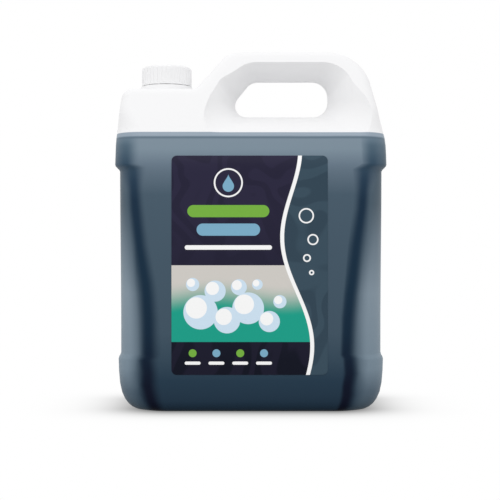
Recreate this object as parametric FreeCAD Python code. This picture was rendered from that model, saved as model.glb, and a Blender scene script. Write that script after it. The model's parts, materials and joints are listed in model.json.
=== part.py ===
import FreeCAD
import Part
import math
import os
from FreeCAD import Vector

os.makedirs("parts", exist_ok=True)

# Sizes in millimetres. X runs to the right, -Y is the front and +Z is up.
# The origin is the middle of the base.
wall = 1.5
half_depth_flat = 65.0

# Half width of the three zones: lower bumper, waist between, upper bumper.
lower_bumper = 103.4
waist = 101.4
upper_bumper = 104.9
waist_bottom = 39.0
waist_top = 189.0
ledge_height = 5.0

# Corner radius of the plan section in each zone.
lower_corner = 34.9
waist_top_corner = 26.0
upper_corner = 22.0

# Rounding of the bottom edge.
side_round_height = 20.0
side_round_width = 14.0
front_round = 8.0

# Above the flat panel the front and back lean in towards the handle.
lean_start = 181.5
lean_radius = 38.0
lean_angle = math.radians(26.6)

# Outline of the top: flat shoulder on the left, slope, handle, right end.
top_start = 235.0
shoulder_height = 250.0
handle_height = 281.0
left_at_top_start = -102.1
left_lean = 0.115
shoulder_corner = 9.0
slope_angle = math.radians(51.0)
slope_foot_x = -42.9
slope_foot_radius = 7.0
slope_top_x = -17.8
slope_top_radius = 18.0
right_at_top_start = 98.4
right_lean = 0.223
right_corner = 34.0
top_edge_radius = 9.0
inner_chamfer = 4.2

# Finger hole at the parting plane, and how far the cove around it widens
# to where it breaks through the leaning front and back.
hole_left = -12.6
hole_right = 61.8
hole_bottom = 231.0
hole_top = 259.0
hole_slant_height = 243.3
cove_left = 18.0
cove_slant = 18.0
cove_right = 25.5
cove_top = 12.5
cove_bottom = 16.5

# Neck, closure and contents.
neck_x = -67.8
neck_radius = 17.5
neck_bore = 14.5
neck_top = 267.2
bead_radius = 18.35
bead_low = 253.6
bead_high = 255.4
cap_outer = 20.0
cap_inner = 18.95
cap_low = 255.6
cap_high = 271.0
cap_top_thickness = 1.9
cap_ribs = 36
rib_width = 1.3
rib_depth = 0.45
band_outer = 21.0
band_inner = 18.75
band_low = 250.6
band_high = 255.1
liner_radius = 18.2
liner_thickness = 1.4
seal_gap = 0.25

label_left = -60.0
label_right = 58.2
label_bottom = 28.6
label_top = 194.7
label_corner = 4.0
label_thickness = 0.2
label_gap = 0.08

liquid_level = 212.8
liquid_gap = 0.2

push_up = 3.0
push_up_inset = 15.0


def ease(value, low, high):
    t = min(1.0, max(0.0, (value - low) / (high - low)))
    return t * t * (3.0 - 2.0 * t)


def edge_round(z, height, width):
    t = max(0.0, 1.0 - z / height)
    return width * (1.0 - math.sqrt(max(0.0, 1.0 - t * t)))


def below(z):
    """Distance under the bend of the lower bumper, starting smoothly."""
    bend = max(0.0, min(15.0, 39.0 - z))
    return bend * bend / 30.0 + max(0.0, 24.0 - z)


def half_depth(z):
    """Distance from the parting plane to the front face at height z."""
    lean_end = lean_start + lean_radius * math.sin(lean_angle)
    if z > lean_end:
        at_end = half_depth_flat - lean_radius * (1.0 - math.cos(lean_angle))
        return at_end - (z - lean_end) * math.tan(lean_angle)
    if z > lean_start:
        rise = z - lean_start
        return half_depth_flat - lean_radius + math.sqrt(lean_radius ** 2 - rise ** 2)
    return half_depth_flat - 0.07 * below(z) - edge_round(z, front_round, front_round)


def half_width(z):
    """Half width of the bumpers and the waist below the top part."""
    width = lower_bumper - 0.09 * below(z)
    width -= edge_round(z, side_round_height, side_round_width)
    width += (waist - width) * ease(z, waist_bottom, waist_bottom + ledge_height)
    width += (upper_bumper - waist) * ease(z, waist_top - ledge_height, waist_top)
    return width


def left_side(z):
    straight = left_at_top_start + left_lean * (z - top_start)
    blend = ease(z, 197.0, 222.0)
    return -half_width(z) * (1.0 - blend) + straight * blend


def right_side(z):
    straight = right_at_top_start - right_lean * (z - top_start)
    blend = ease(z, 196.0, 228.0)
    return half_width(z) * (1.0 - blend) + straight * blend


def corner(z):
    """Corner radius of the plan section at height z."""
    radius = lower_corner - 0.75 * edge_round(z, side_round_height, side_round_width)
    radius -= (lower_corner - waist_top_corner) * ease(z, 60.0, 184.0)
    radius -= (waist_top_corner - upper_corner) * ease(z, 184.0, 189.0)
    radius -= (upper_corner - top_edge_radius) * ease(z, liquid_level, top_start)
    return radius


def rounded_wire(points, radii, place, pieces=None, faceted=False):
    """Closed polygon with rounded corners, put in space by the place function.

    Each corner is made of a few arcs, or of straight chords where it is faceted.
    """
    count = len(points)
    pieces = pieces or [3] * count
    corners = []
    for i in range(count):
        point = Vector(points[i][0], points[i][1], 0)
        before = Vector(points[i - 1][0], points[i - 1][1], 0)
        after = Vector(points[(i + 1) % count][0], points[(i + 1) % count][1], 0)
        back = (before - point).normalize()
        ahead = (after - point).normalize()
        half_angle = back.getAngle(ahead) / 2.0
        middle = (back + ahead).normalize()
        centre = point + middle * (radii[i] / math.sin(half_angle))
        first = point + back * (radii[i] / math.tan(half_angle)) - centre
        turn = (math.pi - 2.0 * half_angle) / (2 * pieces[i])
        side = Vector(0, 0, 1).dot(back.cross(ahead))
        turn = -turn if side > 0 else turn
        steps = range(2 * pieces[i] + 1)
        corners.append([place(centre + turned_by(first, turn * step)) for step in steps])
    edges = []
    for i in range(count):
        corner_points = corners[i]
        if radii[i] > 0:
            for k in range(0, len(corner_points) - 2, 2):
                start, middle, end = corner_points[k:k + 3]
                if faceted:
                    edges.append(Part.LineSegment(start, end).toShape())
                else:
                    edges.append(Part.Arc(start, middle, end).toShape())
        edges.append(Part.LineSegment(corner_points[-1], corners[(i + 1) % count][0]).toShape())
    return Part.Wire(edges)


def turned_by(vector, angle):
    x = vector.x * math.cos(angle) - vector.y * math.sin(angle)
    y = vector.x * math.sin(angle) + vector.y * math.cos(angle)
    return Vector(x, y, 0)


def body_section(z, inset):
    """Rounded rectangle of the body at height z, moved inwards by the inset."""
    if z < side_round_height:
        height = side_round_height * (z - inset) / (side_round_height - inset)
    else:
        height = z
    slope = lean_angle * min(1.0, max(0.0, (z - lean_start) / 16.0))
    depth = half_depth(height) - inset / math.cos(slope)
    left = left_side(height) + inset
    right = right_side(height) - inset
    radius = corner(height) - inset
    points = [(left, -depth), (right, -depth), (right, depth), (left, depth)]
    return rounded_wire(points, [radius] * 4, lambda p: Vector(p.x, p.y, z), faceted=inset > 0)


def top_part(inset):
    """Shoulder, slope and handle above top_start, before the cove is cut."""
    shoulder = shoulder_height - inset
    top = handle_height - inset
    tilt = inset * math.tan(slope_angle / 2.0)

    def left_x(z):
        return left_at_top_start + left_lean * (z - top_start) + inset

    def right_x(z):
        return right_at_top_start - right_lean * (z - top_start) - inset

    low = top_start
    points = [
        (left_x(low), low),
        (left_x(shoulder), shoulder),
        (slope_foot_x + tilt, shoulder),
        (slope_top_x + tilt, top),
        (right_x(top), top),
        (right_x(low), low),
    ]
    radii = [
        0,
        shoulder_corner - inset,
        slope_foot_radius + inset,
        slope_top_radius - inset,
        right_corner - inset,
        0,
    ]
    outline = rounded_wire(points, radii, lambda p: Vector(p.x, -90, p.y), [1] * 6)
    prism = Part.Face(outline).extrude(Vector(0, 180, 0))
    side_low = half_depth(low) - inset / math.cos(lean_angle)
    side_high = half_depth(290.0) - inset / math.cos(lean_angle)
    side = Part.makePolygon([
        Vector(-130, -side_low, low),
        Vector(-130, side_low, low),
        Vector(-130, side_high, 290),
        Vector(-130, -side_high, 290),
        Vector(-130, -side_low, low),
    ])
    block = prism.common(Part.Face(side).extrude(Vector(260, 0, 0)))
    rim = []
    for edge in block.Edges:
        middle = edge.valueAt((edge.FirstParameter + edge.LastParameter) / 2.0)
        depth = half_depth(middle.z) - inset / math.cos(lean_angle)
        if edge.BoundBox.ZMax > low + 0.5 and abs(abs(middle.y) - depth) < 0.01:
            rim.append(edge)
    if inset > 0:
        return block.makeChamfer(inner_chamfer, rim)
    return block.makeFillet(top_edge_radius, rim)


def spread(low, high, count):
    return [low + (high - low) * i / count for i in range(count + 1)]


def body_solid(inset):
    """The can without its cove, hole and neck, moved inwards by the inset."""
    top = top_part(inset)
    floor = [face for face in top.Faces if face.BoundBox.ZMax < top_start + 0.01][0]
    rim = []
    for edge in floor.OuterWire.Edges:
        if edge.Length > 20.0:
            rim.append(edge)
        else:
            step = (edge.LastParameter - edge.FirstParameter) / 3.0
            rim += edge.split([edge.FirstParameter + step, edge.FirstParameter + 2.0 * step]).Edges
    rim = Part.Wire(Part.__sortEdges__(rim))
    lean_end = lean_start + lean_radius * math.sin(lean_angle)
    low_ledge = waist_bottom + ledge_height
    high_ledge = waist_top - ledge_height
    if inset > 0:
        curve = (0, 0.15, 0.45, 1)
        heights = [waist_bottom, low_ledge, lean_start, high_ledge, waist_top, lean_end]
    else:
        curve = (0, 0.03, 0.1, 0.22, 0.4, 0.65, 1)
        heights = spread(side_round_height, waist_bottom, 2)[1:]
        heights += spread(waist_bottom, low_ledge, 3)[1:]
        heights += spread(low_ledge, lean_start, 5)[1:]
        heights += spread(high_ledge, waist_top, 4)
        heights += spread(waist_top, lean_end, 3)[1:]
        heights += spread(lean_end, top_start, 6)[1:-1]
    heights = [inset + (side_round_height - inset) * t for t in curve] + heights
    wires = [body_section(z, inset) for z in heights] + [rim]
    return top.fuse(Part.makeLoft(wires, True, True))


def cove_section(depth, grow):
    """Outline of the cove at a distance from the parting plane."""

    def reach(size, full):
        t = depth / full
        if t > 1.0:
            return size * (1.0 + 1.6 * (t - 1.0)) + grow
        return size * (0.3 * t + 0.7 * (1.0 - math.sqrt(1.0 - 0.96 * t * t)) / 0.8) + grow

    left = hole_left - reach(cove_left, 37.0)
    right = hole_right + reach(cove_right, 37.0)
    top = hole_top + reach(cove_top, 23.5)
    bottom = hole_bottom - reach(cove_bottom, 48.0)
    slant = reach(cove_slant, 31.0)
    slant_x = hole_left - slant * math.sin(slope_angle)
    slant_z = hole_slant_height + slant * math.cos(slope_angle)
    bend_z = slant_z + (left - slant_x) * math.tan(slope_angle)
    top_x = slant_x + (top - slant_z) / math.tan(slope_angle)
    points = [(left, bottom), (right, bottom), (right, top), (top_x, top), (left, bend_z)]
    wider = depth / 40.0
    radii = [9.0, 11.5, 12.5, 11.0, 9.0]
    growth = [8.5, 6.5, 5.5, 7.0, 5.0]
    radii = [r + g * wider for r, g in zip(radii, growth)]
    pieces = [3, 3, 3, 3, 2]
    return rounded_wire(points, radii, lambda p: Vector(p.x, -depth, p.y), pieces, grow > 0)


def cove(grow):
    """Front and back halves of the recess around the finger hole."""
    depths = [0, 6, 12, 18, 23, 28, 33, 38, 46, 56]
    if grow > 0:
        depths = [0, 12, 23, 33, 40, 56]
    front = Part.makeLoft([cove_section(d, grow) for d in depths], True, True)
    back = front.mirror(Vector(0, 0, 0), Vector(0, 1, 0))
    return front, back


def disc(radius, low, high):
    return Part.makeCylinder(radius, high - low, Vector(neck_x, 0, low))


def turned(points):
    """Solid of revolution about the neck axis from radius and height pairs."""
    ring = [Vector(neck_x + r, 0, z) for r, z in points]
    profile = Part.Face(Part.makePolygon(ring + ring[:1]))
    return profile.revolve(Vector(neck_x, 0, 0), Vector(0, 0, 1), 360)


def base_recess(grow):
    """Raised middle of the base, leaving a standing ring around it."""
    depth = half_depth(0.0) - push_up_inset + grow
    width = half_width(0.0) - push_up_inset + grow
    wires = []
    for z, taper in ((-5.0, -4.0), (push_up + grow, 4.0)):
        x = width - taper
        y = depth - taper
        points = [(-x, -y), (x, -y), (x, y), (-x, y)]
        wires.append(rounded_wire(points, [18.0] * 4, lambda p: Vector(p.x, p.y, z),
                                  faceted=grow > 0))
    return Part.makeLoft(wires, True, True)


def cavity(inset):
    """Space inside the wall, also around the cove, the hole and the base."""
    space = body_solid(inset)
    for half in cove(inset):
        space = space.cut(half)
    return space.cut(base_recess(inset))


def make_bottle():
    """Blow-moulded can with its neck and bead."""
    can = body_solid(0.0)
    for half in cove(0.0):
        can = can.cut(half)
    can = can.cut(base_recess(0.0))
    foot = shoulder_height
    neck = turned([
        (neck_bore - 1.0, foot - wall),
        (neck_radius + 2.0, foot - wall),
        (neck_radius + 2.0, foot),
        (neck_radius, foot + 1.2),
        (neck_radius, bead_low),
        (bead_radius, bead_low),
        (bead_radius, bead_low + 0.5),
        (neck_radius, bead_high),
        (neck_radius, neck_top - 0.7),
        (neck_radius - 0.7, neck_top),
        (neck_bore - 1.0, neck_top),
    ])
    can = can.fuse(neck).cut(cavity(wall))
    return can.cut(disc(neck_bore, foot - 20.0, neck_top + 5.0))


def make_cap():
    """Screw cap with a plain collar and ribs for grip."""
    core = cap_outer - rib_depth
    under = cap_high - cap_top_thickness
    cap = turned([
        (0, under),
        (cap_inner, under),
        (cap_inner, cap_low),
        (cap_outer, cap_low),
        (cap_outer, cap_low + 0.9),
        (core, cap_low + 0.9),
        (core, cap_high - 1.8),
        (core - 0.6, cap_high - 0.6),
        (core - 1.8, cap_high),
        (0, cap_high),
    ])
    ribs = []
    for i in range(cap_ribs):
        rib = Part.makeBox(2.0 * rib_depth, rib_width, cap_high - cap_low - 2.4)
        rib.translate(Vector(cap_outer - 2.0 * rib_depth, -rib_width / 2.0, cap_low + 0.5))
        rib.rotate(Vector(0, 0, 0), Vector(0, 0, 1), 360.0 * i / cap_ribs)
        rib.translate(Vector(neck_x, 0, 0))
        ribs.append(rib)
    return cap.fuse(ribs)


def make_band():
    """Tamper band that stays under the bead of the neck."""
    return turned([
        (bead_radius + 0.3, band_high),
        (bead_radius + 0.3, bead_low - 0.3),
        (neck_radius + 0.35, bead_low - 0.3),
        (neck_radius + 0.35, band_low + 1.2),
        (band_inner, band_low + 1.2),
        (band_inner, band_low),
        (band_outer, band_low),
        (band_outer - 0.5, band_high),
    ])


def make_label():
    """Film that follows the front face over both of its bends."""
    heights = [label_bottom, 39.0] + spread(lean_start, waist_top, 2) + [192.0, label_top]

    def face_line(gap):
        line = []
        for z in heights:
            slope = (half_depth(z + 0.1) - half_depth(z - 0.1)) / 0.2
            line.append(Vector(label_left, -half_depth(z) - gap * math.hypot(1.0, slope), z))
        return line

    near = face_line(label_gap)
    far = face_line(label_gap + label_thickness)
    ring = Part.makePolygon(near + far[::-1] + near[:1])
    sheet = Part.Face(ring).extrude(Vector(label_right - label_left, 0, 0))
    points = [
        (label_left, label_bottom),
        (label_right, label_bottom),
        (label_right, label_top),
        (label_left, label_top),
    ]
    outline = rounded_wire(points, [label_corner] * 4, lambda p: Vector(p.x, -90, p.y))
    return sheet.common(Part.Face(outline).extrude(Vector(0, 60, 0)))


def make_detergent():
    """Liquid that fills the can up to its level."""
    depth = Part.makeBox(300, 300, liquid_level, Vector(-150, -150, 0))
    return cavity(wall + liquid_gap).common(depth)


pieces = {
    "bottle": make_bottle(),
    "cap": make_cap(),
    "cap_liner": disc(liner_radius, neck_top + seal_gap, neck_top + seal_gap + liner_thickness),
    "tamper_band": make_band(),
    "front_label": make_label(),
    "detergent": make_detergent(),
}
for name, shape in pieces.items():
    shape.exportStep("parts/" + name + ".step")
    print(name, shape.isValid(), len(shape.Solids), round(shape.Volume), shape.BoundBox)
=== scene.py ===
import json
import math
import bmesh
import bpy
from mathutils import Matrix, Vector

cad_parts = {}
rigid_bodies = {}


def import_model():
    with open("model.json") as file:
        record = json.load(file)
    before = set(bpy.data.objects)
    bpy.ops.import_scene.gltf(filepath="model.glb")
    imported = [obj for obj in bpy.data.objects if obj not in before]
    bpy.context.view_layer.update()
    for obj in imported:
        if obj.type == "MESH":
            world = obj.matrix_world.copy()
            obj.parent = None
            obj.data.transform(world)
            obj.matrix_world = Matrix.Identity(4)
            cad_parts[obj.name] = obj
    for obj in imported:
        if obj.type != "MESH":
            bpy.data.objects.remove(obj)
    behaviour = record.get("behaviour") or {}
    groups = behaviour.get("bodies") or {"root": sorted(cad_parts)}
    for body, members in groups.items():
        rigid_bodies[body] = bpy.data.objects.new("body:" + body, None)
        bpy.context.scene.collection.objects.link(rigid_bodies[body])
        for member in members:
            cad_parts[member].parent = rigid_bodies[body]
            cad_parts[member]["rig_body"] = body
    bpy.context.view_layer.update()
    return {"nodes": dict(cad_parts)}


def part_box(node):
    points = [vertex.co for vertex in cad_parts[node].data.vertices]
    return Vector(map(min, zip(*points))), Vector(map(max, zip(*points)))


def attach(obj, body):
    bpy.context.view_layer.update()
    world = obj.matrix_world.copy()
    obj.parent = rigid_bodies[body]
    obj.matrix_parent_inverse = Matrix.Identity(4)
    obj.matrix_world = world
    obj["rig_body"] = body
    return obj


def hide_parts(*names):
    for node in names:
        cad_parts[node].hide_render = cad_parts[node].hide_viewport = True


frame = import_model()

mm = 0.001


def colourOf(red, green, blue):  # screen values 0-255 to the linear colour that a shader takes
    linear = []
    for value in (red, green, blue):
        share = value / 255
        linear.append(share / 12.92 if share < 0.04045 else ((share + 0.055) / 1.055) ** 2.4)
    return (*linear, 1.0)


# small helpers for shader nodes
def newNode(tree, kind, **settings):
    node = tree.nodes.new(kind)
    for name, value in settings.items():
        setattr(node, name, value)
    return node


def connect(tree, source, target):
    tree.links.new(source, target)


def feed(tree, socket, value):  # a socket takes either a link or a plain value
    if hasattr(value, "is_output"):
        connect(tree, value, socket)
    else:
        socket.default_value = value


def calc(tree, operation, first, second=0.0, third=0.0, clamp=False):
    node = newNode(tree, "ShaderNodeMath", operation=operation, use_clamp=clamp)
    for socket, value in zip(node.inputs, (first, second, third)):
        feed(tree, socket, value)
    return node.outputs[0]


def mixColour(tree, mask, under, over):  # the second colour shows where the mask is 1
    node = newNode(tree, "ShaderNodeMix", data_type="RGBA")
    feed(tree, node.inputs[0], mask)
    feed(tree, node.inputs[6], under)
    feed(tree, node.inputs[7], over)
    return node.outputs[2]


def ramp(tree, value, stops, smooth=True):  # stops are (place, colour) pairs
    node = newNode(tree, "ShaderNodeValToRGB")
    node.color_ramp.interpolation = "EASE" if smooth else "LINEAR"
    points = node.color_ramp.elements
    while len(points) < len(stops):
        points.new(0.5)
    for point, (place, colour) in zip(points, stops):
        point.position = place
        point.color = colour
    feed(tree, node.inputs[0], value)
    return node.outputs[0]


def mapRange(tree, value, low, high, toLow=0.0, toHigh=1.0, kind="SMOOTHSTEP"):
    node = newNode(tree, "ShaderNodeMapRange", interpolation_type=kind)
    for index, number in enumerate((value, low, high, toLow, toHigh)):
        feed(tree, node.inputs[index], number)
    return node.outputs[0]


def placeOf(tree):  # object coordinates in millimetres, as one vector and as x, y and z
    coords = newNode(tree, "ShaderNodeTexCoord")
    scaled = newNode(tree, "ShaderNodeVectorMath", operation="SCALE")
    connect(tree, coords.outputs["Object"], scaled.inputs[0])
    scaled.inputs["Scale"].default_value = 1 / mm
    parts = newNode(tree, "ShaderNodeSeparateXYZ")
    connect(tree, scaled.outputs[0], parts.inputs[0])
    return scaled.outputs[0], parts.outputs


def newMaterial(name, **surface):
    material = bpy.data.materials.new(name)
    material.use_nodes = True
    tree = material.node_tree
    shader = tree.nodes["Principled BSDF"]
    for socket, value in surface.items():
        shader.inputs[socket.replace("_", " ")].default_value = value
    return material, tree, shader


def newGroup(name, vectors, numbers, result):  # a node group with named inputs and one output
    group = bpy.data.node_groups.new(name, "ShaderNodeTree")
    for socket in vectors:
        group.interface.new_socket(socket, in_out="INPUT", socket_type="NodeSocketVector")
    for socket in numbers:
        group.interface.new_socket(socket, in_out="INPUT", socket_type="NodeSocketFloat")
    group.interface.new_socket(result, in_out="OUTPUT", socket_type="NodeSocketFloat")
    inside = group.nodes.new("NodeGroupInput").outputs
    outside = group.nodes.new("NodeGroupOutput").inputs
    return group, inside, outside


def placeGroup(tree, group, **values):
    node = newNode(tree, "ShaderNodeGroup")
    node.node_tree = group
    for name, value in values.items():
        feed(tree, node.inputs[name], value)
    return node.outputs[0]


grainDetail = 3.0


def makeGrainGroup():  # the faint unevenness that moulded and foamed surfaces share
    group, inside, outside = newGroup("surfaceGrain", ["place"], ["scale"], "grain")
    noise = newNode(group, "ShaderNodeTexNoise")
    noise.inputs["Detail"].default_value = grainDetail
    connect(group, inside["place"], noise.inputs["Vector"])
    connect(group, inside["scale"], noise.inputs["Scale"])
    connect(group, noise.outputs[0], outside["grain"])
    return group


grainGroup = makeGrainGroup()


def addGrain(tree, place, scale):
    return placeGroup(tree, grainGroup, place=place, scale=scale)


def addBump(tree, shader, height, reach):  # reach is the height in mm where the value is 1
    bump = newNode(tree, "ShaderNodeBump")
    bump.inputs["Strength"].default_value = 1.0
    bump.inputs["Distance"].default_value = reach * mm
    connect(tree, height, bump.inputs["Height"])
    connect(tree, bump.outputs[0], shader.inputs["Normal"])


# pieces: dressed copies of the frame's nodes, and new ones made here
copying = {
    "mergeReach": 0.004,  # mm
    "shortestEdge": 0.002,  # mm
    "bevelSegments": 2,
    "faceWeight": 50,
}


def addObject(name, data):
    thing = bpy.data.objects.new(name, data)
    bpy.context.scene.collection.objects.link(thing)
    return thing


def dress(piece, material):
    piece.data.materials.clear()
    piece.data.materials.append(material)


def mergedCopy(node, name, sharpAngle, bevelWidth=0.0):  # the node's triangles as one smooth mesh
    source = frame["nodes"][node]
    mesh = bpy.data.meshes.new(name)
    shape = bmesh.new()
    shape.from_mesh(source.data)
    bmesh.ops.remove_doubles(shape, verts=shape.verts, dist=copying["mergeReach"] * mm)
    bmesh.ops.dissolve_degenerate(shape, edges=shape.edges, dist=copying["shortestEdge"] * mm)
    for face in shape.faces:
        face.smooth = True
    for edge in shape.edges:
        closed = len(edge.link_faces) == 2
        edge.smooth = closed and edge.calc_face_angle(0.0) < math.radians(sharpAngle)
    shape.to_mesh(mesh)
    shape.free()
    piece = addObject(name, mesh)
    if bevelWidth:
        bevel = piece.modifiers.new("edgeRounding", "BEVEL")
        bevel.width = bevelWidth * mm
        bevel.segments = copying["bevelSegments"]
        bevel.limit_method = "ANGLE"
        bevel.angle_limit = math.radians(sharpAngle)
    weighted = piece.modifiers.new("flatFacesStayFlat", "WEIGHTED_NORMAL")
    weighted.keep_sharp = True
    weighted.weight = copying["faceWeight"]
    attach(piece, source["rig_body"])
    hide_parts(node)
    return piece


def newPiece(name, shape, body, material):
    mesh = bpy.data.meshes.new(name)
    bmesh.ops.recalc_face_normals(shape, faces=shape.faces)
    shape.to_mesh(mesh)
    shape.free()
    piece = addObject(name, mesh)
    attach(piece, body)
    dress(piece, material)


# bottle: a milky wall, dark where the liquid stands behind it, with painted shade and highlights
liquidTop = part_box("detergent")[1][2] / mm

bottle = {  # heights and widths in mm
    "liquidLevel": liquidTop + 1.0,  # the liquid climbs the wall by a millimetre
    "rampTop": 220.0,  # the ramps below run from the base to this height
    "emptyWall": colourOf(239, 239, 240),
    "panel": [  # height, and colour on the flat faces, with painted shade low and a painted highlight high
        (0, 32, 52, 70), (24, 38, 60, 78), (40, 54, 74, 90),
        (60, 66, 85, 100), (120, 70, 89, 104), (165, 74, 93, 108),
        (188, 104, 121, 136), (200, 122, 139, 152), (212, 124, 140, 153)],
    "paintedStripeShade": [  # the same in the painted shade stripe on each rounded corner
        (0, 8, 14, 34), (20, 8, 17, 38), (60, 17, 40, 60),
        (100, 21, 46, 66), (160, 25, 48, 69), (176, 38, 61, 82),
        (190, 55, 78, 97), (203, 78, 100, 116), (209, 102, 122, 137)],
    "paintedRimLight": [  # and the painted rim light on the outer side of each corner
        (0, 70, 88, 102), (15, 86, 104, 119), (32, 122, 140, 154),
        (90, 134, 150, 163), (130, 108, 124, 137), (158, 80, 96, 108),
        (185, 74, 92, 106), (203, 88, 108, 122), (210, 112, 130, 143)],
    "wetShade": 0.95,  # dims all three
    # turns run from 0, where the wall faces the front or back, to 1, where it faces the side
    "stripePlace": [  # height, and the turn where the painted shade stripe stands
        (0, 0.3), (40, 0.3), (90, 0.34), (158, 0.51), (201, 0.58), (212, 0.62)],
    "stripeShift": 0.13,  # the stripe sits further in on the right half
    "shiftReach": 20.0,  # which begins over this many millimetres
    "shiftTurn": 0.12,
    "stripeCore": (-0.02, 0.03),  # darkest between these turns, counted from the stripe's place
    "stripeInner": -0.3,
    "stripeOuter": 0.26,
    "innerSpread": -0.25,  # how much wider the stripe is at the shoulder
    "outerSpread": 0.5,
    "spreadFrom": 165.0,
    "spreadTo": 200.0,
    "rimFrom": 0.06,  # past the stripe, the panel's colour gives way to the painted rim light
    "rimTo": 0.48,
    "paintedLevelHighlight": colourOf(158, 171, 184),
    "meniscusLine": colourOf(92, 110, 124),
    "highlightHeight": 4.2,  # the painted highlight band below the level
    "highlightFade": 2.0,
    "highlightShare": 0.75,
    "lineHalfWidth": 0.2,  # the thin line at the band's foot
    "lineFade": 1.5,
    "lineShare": 0.8,
    "waviness": 0.6,
    "levelFade": (-0.3, 0.2),  # round the level, where the wet wall gives way to the dry one
    "roughness": 0.38,
    "specular": 0.08,
    "grainScale": 0.02,
    "grainHeight": 0.2,
    "seamWidth": 0.35,  # the mould's parting line, from its middle
    "seamHeight": 0.12,
    "sharpAngle": 38.0,
}


def heightRamp(tree, z, stops):
    return ramp(tree, calc(tree, "DIVIDE", z, bottle["rampTop"]), stops, smooth=False)


def heightColour(tree, z, rows):
    stops = []
    for height, *tone in rows:
        shade = [part * bottle["wetShade"] for part in colourOf(*tone)[:3]]
        stops.append((height / bottle["rampTop"], (*shade, 1.0)))
    return heightRamp(tree, z, stops)


def heightValue(tree, z, rows):
    stops = [(height / bottle["rampTop"], (value, value, value, 1.0)) for height, value in rows]
    return heightRamp(tree, z, stops)


def turnPastStripe(tree, x, z):  # how far the surface turns past the middle of the painted shade stripe
    coords = newNode(tree, "ShaderNodeTexCoord")
    normal = newNode(tree, "ShaderNodeSeparateXYZ")
    connect(tree, coords.outputs["Normal"], normal.inputs[0])
    squares = [calc(tree, "MULTIPLY", part, part) for part in normal.outputs[:2]]
    level = calc(tree, "SQRT", calc(tree, "ADD", calc(tree, "ADD", *squares), 0.0001))  # never nought
    turn = calc(tree, "DIVIDE", calc(tree, "ABSOLUTE", normal.outputs[0]), level)
    toRight = mapRange(tree, x, 0.0, bottle["shiftReach"])
    turned = mapRange(tree, turn, 0.0, bottle["shiftTurn"])
    onRight = calc(tree, "MULTIPLY", toRight, turned)
    shifted = calc(tree, "MULTIPLY_ADD", onRight, bottle["stripeShift"], turn)
    return calc(tree, "SUBTRACT", shifted, heightValue(tree, z, bottle["stripePlace"]))


# the liquid's tone behind the wall, with a painted shade stripe and painted rim light over it
def wetWallWithPaintedLight(tree, x, z):
    past = turnPastStripe(tree, x, z)
    spread = mapRange(tree, z, bottle["spreadFrom"], bottle["spreadTo"])
    inner = calc(tree, "MULTIPLY_ADD", spread, bottle["innerSpread"], bottle["stripeInner"])
    outer = calc(tree, "MULTIPLY_ADD", spread, bottle["outerSpread"], bottle["stripeOuter"])
    coreFrom, coreTo = bottle["stripeCore"]
    # painted shade: the dark stripe on each corner
    rise = mapRange(tree, past, inner, coreFrom)
    fall = mapRange(tree, past, coreTo, outer)
    dark = calc(tree, "MULTIPLY", rise, calc(tree, "SUBTRACT", 1.0, fall))
    # painted rim light past the stripe
    rim = mapRange(tree, past, bottle["rimFrom"], bottle["rimTo"])
    panel = heightColour(tree, z, bottle["panel"])
    wet = mixColour(tree, rim, panel, heightColour(tree, z, bottle["paintedRimLight"]))
    return mixColour(tree, dark, wet, heightColour(tree, z, bottle["paintedStripeShade"]))


def addLevelHighlightAndLine(tree, z, grain, wet):  # a painted highlight band, with a thin darker line below it
    wavy = calc(tree, "MULTIPLY_ADD", grain, bottle["waviness"], z)
    foot = bottle["liquidLevel"] - bottle["highlightHeight"]
    # painted highlight where the liquid's surface shows from below
    bright = mapRange(tree, wavy, foot, foot + bottle["highlightFade"])
    bright = calc(tree, "MULTIPLY", bright, bottle["highlightShare"])
    wet = mixColour(tree, bright, wet, bottle["paintedLevelHighlight"])
    away = calc(tree, "ABSOLUTE", calc(tree, "SUBTRACT", wavy, foot))
    line = mapRange(tree, away, bottle["lineHalfWidth"], bottle["lineFade"], bottle["lineShare"], 0.0)
    return mixColour(tree, line, wet, bottle["meniscusLine"])


def makeBottleMaterial():
    material, tree, shader = newMaterial(
        "milkyPolyethylene", Roughness=bottle["roughness"], Specular_IOR_Level=bottle["specular"])
    place, (x, y, z) = placeOf(tree)
    grain = addGrain(tree, place, bottle["grainScale"])
    seam = mapRange(tree, calc(tree, "ABSOLUTE", y), 0.0, bottle["seamWidth"], 1.0, 0.0)
    uneven = calc(tree, "MULTIPLY", grain, bottle["grainHeight"])
    addBump(tree, shader, calc(tree, "MULTIPLY_ADD", seam, bottle["seamHeight"], uneven), 1.0)

    wet = addLevelHighlightAndLine(tree, z, grain, wetWallWithPaintedLight(tree, x, z))
    fadeFrom, fadeTo = [bottle["liquidLevel"] + part for part in bottle["levelFade"]]
    above = mapRange(tree, z, fadeFrom, fadeTo)
    connect(tree, mixColour(tree, above, wet, bottle["emptyWall"]), shader.inputs["Base Color"])
    return material


bottleMaterial = makeBottleMaterial()
bottleShell = mergedCopy("bottle", "bottleShell", bottle["sharpAngle"])
dress(bottleShell, bottleMaterial)
print("bottle shell dressed")


# liquid inside, darker towards the base: painted shade
liquid = {
    "deep": colourOf(10, 24, 44),
    "shallow": colourOf(24, 50, 78),
    "shallowHeight": 213.0,
    "roughness": 0.1,
}


def makeLiquidMaterial():
    material, tree, shader = newMaterial("detergentLiquid", Roughness=liquid["roughness"])
    height = calc(tree, "DIVIDE", placeOf(tree)[1][2], liquid["shallowHeight"])
    # painted shade: darker towards the base
    colour = ramp(tree, height, [(0.0, liquid["deep"]), (1.0, liquid["shallow"])])
    connect(tree, colour, shader.inputs["Base Color"])
    return material


dress(frame["nodes"]["detergent"], makeLiquidMaterial())
print("liquid dressed")


# cap, sealing wad and tamper band
capLow, capHigh = [[part / mm for part in corner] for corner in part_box("cap")]

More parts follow.
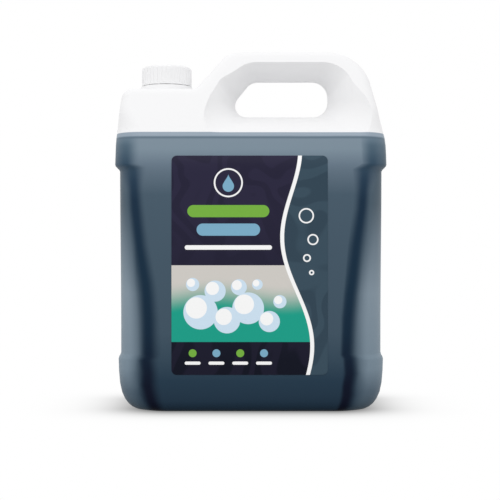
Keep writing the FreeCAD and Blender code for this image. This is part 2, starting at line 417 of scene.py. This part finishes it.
closure = {  # lengths in mm
    "axisX": (capLow[0] + capHigh[0]) / 2,
    "capFinish": {"tone": colourOf(243, 243, 244), "roughness": 0.32, "scale": 0.6, "height": 0.02},
    "bandFinish": {"tone": colourOf(241, 241, 242), "roughness": 0.34, "scale": 0.6, "height": 0.02},
    "wadFinish": {"tone": colourOf(226, 226, 222), "roughness": 0.8, "scale": 3.0, "height": 0.05},
    "fleckShade": 0.97,  # the grain's low spots keep this share of the colour
    "specular": 0.45,
    "sharpAngle": 32.0,
    "capRounding": 0.16,
    "bandRounding": 0.2,
    "neckRadius": 17.5,
    "neckThreadRadius": 18.5,
    "capInnerRadius": 18.95,
    "capThreadRadius": 17.9,
    "threadPitch": 4.0,
    "threadTurns": 1.5,
    "threadStart": capLow[2] + 2.6,
    "threadFoot": 1.9,
    "threadCrest": 0.9,
    "threadSunk": 0.3,  # how deep its foot stands in the wall
    "threadSteps": 108,
    "bridges": 12,
    "bridgeSize": (0.6, 0.9, 0.68),  # outwards, along the ring and upwards
    "bridgeRadius": 19.5,
    "bridgeDrop": 0.36,  # its middle lies this far below the cap
}


def makeWhitePlastic(name, tone, roughness, scale, height):  # scale and height of its grain
    material, tree, shader = newMaterial(
        name, Roughness=roughness, Specular_IOR_Level=closure["specular"])
    grain = addGrain(tree, placeOf(tree)[0], scale)
    addBump(tree, shader, grain, height)
    fleck = (*[part * closure["fleckShade"] for part in tone[:3]], 1.0)
    connect(tree, mixColour(tree, grain, fleck, tone), shader.inputs["Base Color"])
    return material


capMaterial = makeWhitePlastic("capPlastic", **closure["capFinish"])
bandMaterial = makeWhitePlastic("bandPlastic", **closure["bandFinish"])
wadMaterial = makeWhitePlastic("wadFoam", **closure["wadFinish"])

capShell = mergedCopy("cap", "capShell", closure["sharpAngle"], closure["capRounding"])
dress(capShell, capMaterial)
tamperRing = mergedCopy("tamper_band", "tamperRing", closure["sharpAngle"], closure["bandRounding"])
dress(tamperRing, bandMaterial)
dress(frame["nodes"]["cap_liner"], wadMaterial)


def makeThread(wallRadius, tipRadius, start):  # its section is spun up round the cap's axis
    shape = bmesh.new()
    outward = 1 if tipRadius > wallRadius else -1
    rootRadius = wallRadius - outward * closure["threadSunk"]
    foot, crest = closure["threadFoot"] / 2, closure["threadCrest"] / 2
    corners = [(rootRadius, -foot), (rootRadius, foot), (tipRadius, crest), (tipRadius, -crest)]
    verts = [shape.verts.new(((closure["axisX"] + radius) * mm, 0, (start + height) * mm))
             for radius, height in corners]
    face = shape.faces.new(verts)
    climb = closure["threadPitch"] * closure["threadTurns"] * mm / closure["threadSteps"]
    bmesh.ops.spin(
        shape, geom=[face] + face.edges[:] + face.verts[:], cent=(closure["axisX"] * mm, 0, 0),
        axis=(0, 0, 1), angle=closure["threadTurns"] * 2 * math.pi, steps=closure["threadSteps"],
        dvec=Vector((0, 0, climb)), use_duplicate=False)
    bmesh.ops.remove_doubles(shape, verts=shape.verts, dist=copying["mergeReach"] * mm)
    return shape


def makeBridges():  # thin links that tear when the cap is first turned
    shape = bmesh.new()
    height = capLow[2] - closure["bridgeDrop"]
    for index in range(closure["bridges"]):
        made = bmesh.ops.create_cube(shape, size=1.0)["verts"]
        bmesh.ops.scale(shape, verts=made, vec=[part * mm for part in closure["bridgeSize"]])
        bmesh.ops.translate(shape, verts=made, vec=(closure["bridgeRadius"] * mm, 0, height * mm))
        turn = Matrix.Rotation(2 * math.pi * (index + 0.5) / closure["bridges"], 3, "Z")
        bmesh.ops.rotate(shape, verts=made, cent=(0, 0, 0), matrix=turn)
        bmesh.ops.translate(shape, verts=made, vec=(closure["axisX"] * mm, 0, 0))
    return shape


neckStart = closure["threadStart"]
capStart = neckStart + closure["threadPitch"] / 2  # the cap's thread runs between the neck's turns
neckThread = makeThread(closure["neckRadius"], closure["neckThreadRadius"], neckStart)
capThread = makeThread(closure["capInnerRadius"], closure["capThreadRadius"], capStart)
newPiece("neckThread", neckThread, "bottle", bottleMaterial)
newPiece("capThread", capThread, "cap", capMaterial)
newPiece("tamperBridges", makeBridges(), "bottle", bandMaterial)
print("closure made")


# front label: fields of colour and simple shapes, placed by x and z in mm
label = {
    "night": colourOf(42, 39, 62),
    "nightDeep": colourOf(14, 17, 32),
    "nightLine": colourOf(32, 30, 50),
    "slate": colourOf(58, 78, 92),
    "slateLine": colourOf(47, 65, 79),
    "white": colourOf(250, 250, 250),
    "skyBlue": colourOf(124, 172, 199),
    "leafGreen": colourOf(118, 176, 66),
    "sand": colourOf(208, 204, 198),
    "teal": colourOf(28, 158, 136),
    "foam": colourOf(206, 226, 242),
    "roughness": 0.3,
    "specular": 0.08,
    "sharpAngle": 50.0,
    "edge": 0.25,  # width over which one ink gives way to the next
    "nightFrom": 40.0,  # the dark field lightens from here up
    "nightTo": 150.0,
    "contour": {"scale": 0.022, "detail": 0.6, "swirl": 0.5, "count": 13.0, "halfWidth": 0.12},
    "nightContour": 0.55,  # how strongly the contour lines show on each field
    "slateContour": 0.7,
    "panel": {"centre": (0.0, 82.5), "half": (70.0, 29.0), "corner": 0.01},
    "sea": {"from": 76.0, "to": 100.0, "swell": 3.0, "speed": 0.06},
    "bubbles": [  # x, z and radius
        (-38, 76, 13), (-18, 70, 10), (-2, 79, 12), (14, 69, 8), (-27, 92, 8),
        (-9, 95, 6), (5, 97, 4), (-44, 97, 5), (22, 84, 5)],
    "glintShift": 0.25,  # as a share of the bubble's radius
    "glintSize": 0.62,
    # the wave parts the night field from the slate one, and leans left as it climbs
    "wave": {"middle": 34.0, "reach": 9.0, "speed": 0.042, "start": -0.7,
             "lean": -0.06, "leanFrom": 110.0, "halfWidth": 1.5},
    "ring": {"centre": (-17.0, 174.0), "radius": 11.0, "width": 1.2},
    "drop": {"centre": (-17.0, 171.4), "radius": 4.3, "height": 10.0, "sharpness": 3.0},
    "bars": [  # centre, half size and colour of plain bars with round ends
        ((-17.0, 152.5), (31.0, 4.6), "leafGreen"),
        ((-17.0, 138.5), (24.0, 4.6), "skyBlue"),
        ((-17.0, 125.0), (33.0, 1.7), "white")],
    "row": {"count": 4, "start": -44.0, "step": 18.0, "discHeight": 45.0, "discRadius": 3.0,
            "barHeight": 37.5, "barHalf": (6.0, 1.2)},
    "rings": [  # centre and radius, rising as bubbles do
        ((46.0, 106.0), 2.0), ((42.5, 117.0), 3.0), ((47.0, 131.0), 4.2), ((42.0, 149.0), 5.8)],
    "ringWidth": 1.1,
}


def makeBarGroup():  # mask of a bar with rounded corners, from its centre and half sizes
    names = ["x", "z", "centreX", "centreZ", "halfWidth", "halfHeight", "corner", "edge"]
    group, inside, outside = newGroup("roundedBar", [], names, "mask")
    reaches = []
    for axis, centre, half in (("x", "centreX", "halfWidth"), ("z", "centreZ", "halfHeight")):
        away = calc(group, "ABSOLUTE", calc(group, "SUBTRACT", inside[axis], inside[centre]))
        reaches.append(calc(group, "ADD", calc(group, "SUBTRACT", away, inside[half]), inside["corner"]))
    outer = [calc(group, "MAXIMUM", reach, 0.0) for reach in reaches]
    squares = [calc(group, "MULTIPLY", reach, reach) for reach in outer]
    length = calc(group, "SQRT", calc(group, "ADD", *squares))
    inner = calc(group, "MINIMUM", calc(group, "MAXIMUM", *reaches), 0.0)
    distance = calc(group, "SUBTRACT", calc(group, "ADD", length, inner), inside["corner"])
    step = calc(group, "DIVIDE", distance, inside["edge"])
    connect(group, calc(group, "SUBTRACT", 0.5, step, clamp=True), outside["mask"])
    return group


barGroup = makeBarGroup()


def bar(tree, x, z, centre, half, corner):
    return placeGroup(tree, barGroup, x=x, z=z, centreX=centre[0], centreZ=centre[1],
                      halfWidth=half[0], halfHeight=half[1], corner=corner, edge=label["edge"])


def disc(tree, x, z, centre, radius):
    return bar(tree, x, z, centre, (radius, radius), radius)


def edgeMask(tree, distance):  # 0 on one side of an edge and 1 on the other
    return calc(tree, "MULTIPLY_ADD", distance, 1 / label["edge"], 0.5, clamp=True)


def drop(tree, x, z, centre, radius, height, sharpness):  # round below, drawn out to a point above
    away = calc(tree, "ABSOLUTE", calc(tree, "SUBTRACT", x, centre[0]))
    rise = calc(tree, "SUBTRACT", z, centre[1])
    angle = calc(tree, "DIVIDE", calc(tree, "MULTIPLY", rise, math.pi), height)
    width = calc(tree, "MULTIPLY_ADD", calc(tree, "COSINE", angle), 0.5 * radius, 0.5 * radius)
    inside = calc(tree, "SUBTRACT", width, away)
    inside = calc(tree, "MULTIPLY", inside, calc(tree, "LESS_THAN", rise, height))
    point = calc(tree, "MULTIPLY", inside, sharpness, clamp=True)
    upper = calc(tree, "MULTIPLY", point, calc(tree, "GREATER_THAN", rise, 0.0))
    return calc(tree, "MAXIMUM", upper, disc(tree, x, z, centre, radius))


def contourLines(tree, place, scale, detail, swirl, count, halfWidth):  # faint, as on a map
    noise = newNode(tree, "ShaderNodeTexNoise")
    noise.inputs["Scale"].default_value = scale
    noise.inputs["Detail"].default_value = detail
    noise.inputs["Distortion"].default_value = swirl
    connect(tree, place, noise.inputs["Vector"])
    swing = calc(tree, "PINGPONG", calc(tree, "MULTIPLY", noise.outputs[0], count), 1.0)
    return mapRange(tree, swing, 0.5 - halfWidth, 0.5 + halfWidth)


def printPanel(tree, x, z):  # sand above, teal below, with foam bubbles over both
    sea = label["sea"]
    swell = calc(tree, "SINE", calc(tree, "MULTIPLY", x, sea["speed"]))
    shore = calc(tree, "MULTIPLY_ADD", swell, sea["swell"], z)
    panel = mixColour(tree, mapRange(tree, shore, sea["from"], sea["to"]), label["teal"], label["sand"])
    for bubbleX, bubbleZ, radius in label["bubbles"]:
        shift = radius * label["glintShift"]
        foam = disc(tree, x, z, (bubbleX, bubbleZ), radius)
        glint = disc(tree, x, z, (bubbleX - shift, bubbleZ + shift), radius * label["glintSize"])
        panel = mixColour(tree, foam, panel, label["foam"])
        panel = mixColour(tree, glint, panel, label["white"])
    return panel


def pastWave(tree, x, z):  # how far right of the wave's middle line a place lies
    wave = label["wave"]
    swing = calc(tree, "SINE", calc(tree, "MULTIPLY_ADD", z, wave["speed"], wave["start"]))
    middle = calc(tree, "MULTIPLY_ADD", swing, wave["reach"], wave["middle"])
    above = calc(tree, "SUBTRACT", z, wave["leanFrom"])
    middle = calc(tree, "MULTIPLY_ADD", above, wave["lean"], middle)
    return calc(tree, "SUBTRACT", x, middle)


def printShapes(tree, x, z, colour):
    ring, row = label["ring"], label["row"]
    colour = mixColour(tree, disc(tree, x, z, ring["centre"], ring["radius"]), colour, label["white"])
    hole = disc(tree, x, z, ring["centre"], ring["radius"] - ring["width"])
    colour = mixColour(tree, hole, colour, label["night"])
    shapes = list(label["bars"])
    for index in range(row["count"]):  # discs in two colours by turns, each over a short bar
        middle = row["start"] + row["step"] * index
        tone = "skyBlue" if index % 2 else "leafGreen"
        shapes.append(((middle, row["discHeight"]), (row["discRadius"], row["discRadius"]), tone))
        shapes.append(((middle, row["barHeight"]), row["barHalf"], "white"))
    for centre, half, tone in shapes:
        colour = mixColour(tree, bar(tree, x, z, centre, half, half[1]), colour, label[tone])
    colour = mixColour(tree, drop(tree, x, z, **label["drop"]), colour, label["skyBlue"])
    for centre, radius in label["rings"]:
        hole = disc(tree, x, z, centre, radius - label["ringWidth"])
        colour = mixColour(tree, disc(tree, x, z, centre, radius), colour, label["white"])
        colour = mixColour(tree, hole, colour, label["slate"])
    return colour


def makeLabelMaterial():
    material, tree, shader = newMaterial(
        "printedFilm", Roughness=label["roughness"], Specular_IOR_Level=label["specular"])
    place, parts = placeOf(tree)
    x, z = parts[0], parts[2]
    lines = contourLines(tree, place, **label["contour"])
    fade = mapRange(tree, z, label["nightFrom"], label["nightTo"], kind="LINEAR")
    night = mixColour(tree, fade, label["nightDeep"], label["night"])
    nightLines = calc(tree, "MULTIPLY", lines, label["nightContour"])
    night = mixColour(tree, nightLines, night, label["nightLine"])
    slateLines = calc(tree, "MULTIPLY", lines, label["slateContour"])
    slate = mixColour(tree, slateLines, label["slate"], label["slateLine"])

    colour = mixColour(tree, bar(tree, x, z, **label["panel"]), night, printPanel(tree, x, z))
    past = pastWave(tree, x, z)
    colour = mixColour(tree, edgeMask(tree, past), colour, slate)
    ribbon = calc(tree, "SUBTRACT", label["wave"]["halfWidth"], calc(tree, "ABSOLUTE", past))
    colour = mixColour(tree, edgeMask(tree, ribbon), colour, label["white"])
    connect(tree, printShapes(tree, x, z, colour), shader.inputs["Base Color"])
    return material


labelFilm = mergedCopy("front_label", "labelFilm", label["sharpAngle"])
dress(labelFilm, makeLabelMaterial())
print("label printed")


# floor, light and camera
studio = {  # lengths in metres, unless noted
    "floorSize": 6.0,
    "floorDrop": 0.0001,  # just clear of the base
    "baseHalf": (84.6, 55.0),  # mm, the patch of floor that the base shades fully
    "baseCorner": 23.5,  # mm
    "shadowReach": 25.0,  # mm
    "shadowDepth": 0.72,
    "shadowPower": 1.35,
    "floorLight": 0.74,  # the floor and the sky are white to the camera and dimmer as lights
    "skyLight": 0.97,
    "lampPlace": (-0.25, -0.9, 1.2),
    "lampTarget": (0, 0, 0.2),
    "lampPower": 3.7,
    "lampSize": 1.0,
    "cameraPlace": (0.0, -1.036, 0.11),
    "lens": 92.4,  # mm
    "sensor": 36.0,  # mm
    "shiftX": -0.0016,
    "shiftY": 0.0346,
}


def cameraShare(tree, asLight):  # 1 to the camera, and the given share as a light
    path = newNode(tree, "ShaderNodeLightPath")
    return mapRange(tree, path.outputs["Is Camera Ray"], 0.0, 1.0, asLight, 1.0, kind="LINEAR")


def makeFloorMaterial():  # it glows white, and is shaded softly round the base
    material = bpy.data.materials.new("whiteFloor")
    material.use_nodes = True
    tree = material.node_tree
    tree.nodes.clear()
    parts = placeOf(tree)[1]
    squares = []
    for axis, half in zip(parts[:2], studio["baseHalf"]):
        past = calc(tree, "SUBTRACT", calc(tree, "ABSOLUTE", axis), half - studio["baseCorner"])
        past = calc(tree, "MAXIMUM", past, 0.0)
        squares.append(calc(tree, "MULTIPLY", past, past))
    away = calc(tree, "SUBTRACT", calc(tree, "SQRT", calc(tree, "ADD", *squares)), studio["baseCorner"])
    away = calc(tree, "DIVIDE", calc(tree, "MAXIMUM", away, 0.0), studio["shadowReach"])
    away = calc(tree, "MULTIPLY", calc(tree, "POWER", away, studio["shadowPower"]), -1.0)
    tone = calc(tree, "MULTIPLY_ADD", calc(tree, "EXPONENT", away), -studio["shadowDepth"], 1.0)
    glow = newNode(tree, "ShaderNodeEmission")
    strength = calc(tree, "MULTIPLY", tone, cameraShare(tree, studio["floorLight"]))
    connect(tree, strength, glow.inputs["Strength"])
    connect(tree, glow.outputs[0], newNode(tree, "ShaderNodeOutputMaterial").inputs["Surface"])
    return material


def makeFloor():
    shape = bmesh.new()
    bmesh.ops.create_grid(shape, x_segments=1, y_segments=1, size=studio["floorSize"])
    bmesh.ops.translate(shape, verts=shape.verts, vec=(0, 0, -studio["floorDrop"]))
    mesh = bpy.data.meshes.new("studioFloor")
    shape.to_mesh(mesh)
    shape.free()
    mesh.materials.append(makeFloorMaterial())
    addObject("studioFloor", mesh)


def makeSky():
    world = bpy.data.worlds.new("whiteStudio")
    world.use_nodes = True
    tree = world.node_tree
    background = tree.nodes["Background"]
    background.inputs["Color"].default_value = (1, 1, 1, 1)
    connect(tree, cameraShare(tree, studio["skyLight"]), background.inputs["Strength"])
    bpy.context.scene.world = world


def makeLamp():
    lamp = bpy.data.lights.new("topLight", "AREA")
    lamp.energy = studio["lampPower"]
    lamp.size = studio["lampSize"]
    holder = addObject("topLight", lamp)
    holder.location = studio["lampPlace"]
    aim = Vector(studio["lampTarget"]) - Vector(studio["lampPlace"])
    holder.rotation_euler = aim.to_track_quat("-Z", "Y").to_euler()


def makeCamera():
    camera = bpy.data.cameras.new("photoCamera")
    camera.lens = studio["lens"]
    camera.sensor_width = studio["sensor"]
    camera.sensor_fit = "HORIZONTAL"
    camera.shift_x = studio["shiftX"]
    camera.shift_y = studio["shiftY"]
    holder = addObject("photoCamera", camera)
    holder.location = studio["cameraPlace"]
    holder.rotation_euler = (math.radians(90), 0, 0)
    bpy.context.scene.camera = holder


makeFloor()
makeSky()
makeLamp()
makeCamera()
bpy.context.scene.view_settings.view_transform = "Standard"
print("studio ready")
